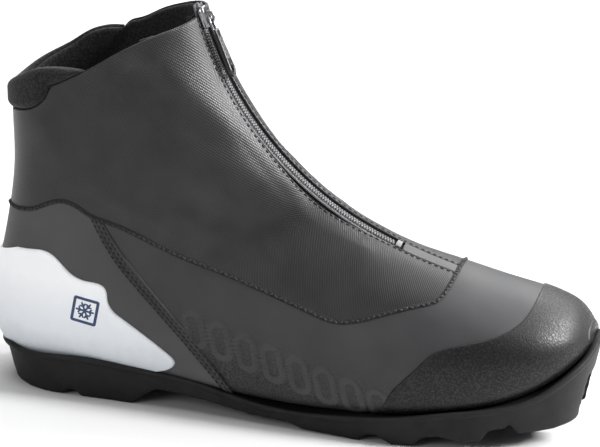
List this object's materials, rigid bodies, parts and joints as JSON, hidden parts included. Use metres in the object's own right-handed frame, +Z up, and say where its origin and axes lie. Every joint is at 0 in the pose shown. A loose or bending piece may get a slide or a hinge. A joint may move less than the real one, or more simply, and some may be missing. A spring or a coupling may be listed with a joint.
{
  "type": "cross country ski boot",
  "caption": "Zip-fronted cross country ski boot for the right foot, with padded rear cuff, moulded heel counter, grained toe cap and lugged sole with toe bar.",
  "frame": {"origin": "on the ground under the middle of the boot", "axes": "+X to the toe, +Z up, -Y to the outer side of the foot"},
  "size_m": [0.3054, 0.1016, 0.1983],
  "materials": {
    "sole_rubber": "matt moulded rubber",
    "tread_rubber": "matt rubber",
    "bar_steel": "satin",
    "insert_plastic": "matt",
    "stiffener": "matt",
    "foam": "soft foam",
    "board": "fibre board",
    "footbed_fabric": "brushed knit",
    "toe_grain": "speckled grain",
    "grey_shell": "smooth matt synthetic",
    "rear_shell": "smooth matt synthetic",
    "piping": "satin folded strip",
    "heel_white": "satin",
    "woven_black": "ripstop weave with sheen",
    "lining_knit": "knit lining",
    "tape_grey": "zip tape",
    "coil_nylon": "nylon coil",
    "slider_metal": "dark plated",
    "pull_plastic": "moulded",
    "stitching": "thread"
  },
  "bodies": {
    "boot": {"outsole_frame": "sole_rubber", "heel_tread": "tread_rubber", "forefoot_tread": "tread_rubber", "toe_bar": "bar_steel", "bar_insert": "insert_plastic", "shank_plate": "stiffener", "heel_cushion": "foam", "lasting_board": "board", "footbed": "footbed_fabric", "toe_cap": "toe_grain", "toe_puff": "stiffener", "vamp": "grey_shell", "quarter_lateral": "grey_shell", "quarter_medial": "grey_shell", "rear_quarter": "rear_shell", "quarter_piping_lateral": "piping", "quarter_piping_medial": "piping", "heel_counter": "heel_white", "internal_counter": "stiffener", "insulation_layer": "foam", "ankle_shell_lateral": "woven_black", "ankle_shell_medial": "woven_black", "placket": "woven_black", "collar_cuff": "lining_knit", "shaft_lining": "lining_knit", "heel_lining": "lining_knit", "forefoot_lining": "lining_knit", "tongue": "lining_knit", "eyestay_lateral": "piping", "eyestay_medial": "piping", "eyelets": "bar_steel", "zip_guard": "tape_grey", "zip_tape_lateral": "tape_grey", "zip_tape_medial": "tape_grey", "zip_coil_lateral": "coil_nylon", "zip_coil_medial": "coil_nylon", "zip_top_stops": "slider_metal", "zip_bottom_stop": "stitching"},
    "zip_slider": {"zip_slider": "slider_metal"},
    "zip_pull": {"zip_pull_link": "slider_metal", "zip_pull_grip": "pull_plastic"}
  },
  "joints": [
    {"name": "zip_slide", "type": "hinge", "parent": "boot", "child": "zip_slider", "pos_m": [0.1075, -0.006, 0.2476], "axis": [0, -1, 0], "range_deg": [0, 47.5]},
    {"name": "pull_tab", "type": "hinge", "parent": "zip_slider", "child": "zip_pull", "pos_m": [-0.04783, -0.006, 0.19106], "axis": [0, -1, 0], "range_deg": [0, 150]}
  ]
}
